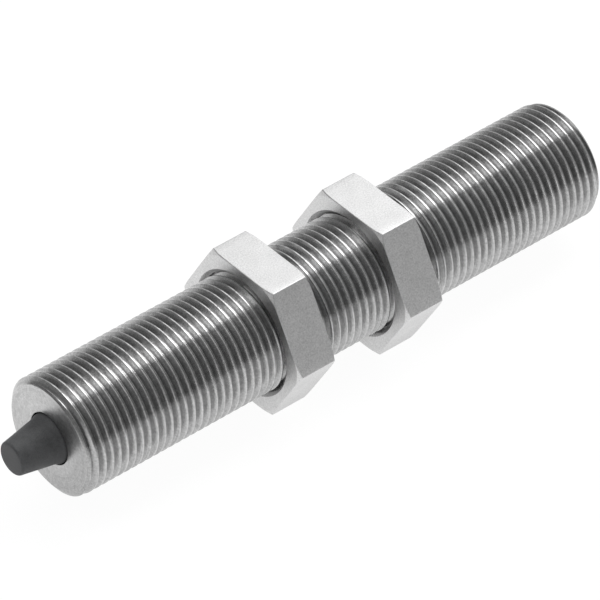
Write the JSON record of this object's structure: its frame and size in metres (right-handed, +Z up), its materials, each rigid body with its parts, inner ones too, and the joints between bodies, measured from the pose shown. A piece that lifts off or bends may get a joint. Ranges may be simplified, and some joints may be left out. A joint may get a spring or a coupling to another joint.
{
  "type": "industrial shock absorber",
  "caption": "Compact threaded shock absorber with a rubber striking tip, a fixed metal stop face and hexagon lock nuts on its barrel.",
  "frame": {"origin": "centre of the barrel's front stop face, on the barrel's axis", "axes": "+X along the barrel from the stop face to its rear end, so the striking tip points to -X; +Z up, with two flats of each lock nut level"},
  "size_m": [0.077, 0.0196, 0.017],
  "materials": {
    "barrel_steel": "turned, rolled thread",
    "nut_steel": "fine matt",
    "tip_rubber": "matt",
    "rod_chrome": "ground and polished",
    "bronze": "turned",
    "seal_plastic": "matt",
    "seal_rubber": "satin",
    "white_plastic": "matt",
    "foam": "closed-cell foam",
    "inner_steel": "ground",
    "spring_steel": "oiled",
    "plug_steel": "turned"
  },
  "bodies": {
    "housing": {"barrel": "barrel_steel", "rod_guide": "bronze", "rod_wiper": "seal_plastic", "rod_seal": "seal_rubber", "backup_ring": "white_plastic", "accumulator_foam": "foam", "guide_oring": "seal_rubber", "plug_oring": "seal_rubber", "pressure_tube": "inner_steel", "spring_seat": "inner_steel", "rear_plug": "plug_steel", "fill_ball": "rod_chrome", "fill_screw": "inner_steel", "snap_ring": "spring_steel"},
    "rod": {"striking_tip": "tip_rubber", "piston_rod": "rod_chrome", "piston": "inner_steel", "piston_nut": "inner_steel", "return_spring": "spring_steel"},
    "check_ring_body": {"check_ring": "inner_steel"},
    "front_nut_body": {"front_lock_nut": "nut_steel"},
    "rear_nut_body": {"rear_lock_nut": "nut_steel"}
  },
  "joints": [
    {"name": "rod_stroke", "type": "slide", "parent": "housing", "child": "rod", "axis": [1, 0, 0], "range_m": [0, 0.005], "stiffness_N_per_m": 600, "springref_m": -0.006, "deforming": ["return_spring"]},
    {"name": "check_ring_shift", "type": "slide", "parent": "rod", "child": "check_ring_body", "axis": [1, 0, 0], "range_m": [0, 0.0003]},
    {"name": "front_nut_travel", "type": "slide", "parent": "housing", "child": "front_nut_body", "axis": [1, 0, 0], "range_m": [-0.025, 0.005]},
    {"name": "rear_nut_travel", "type": "slide", "parent": "housing", "child": "rear_nut_body", "axis": [1, 0, 0], "range_m": [-0.005, 0.025]}
  ]
}
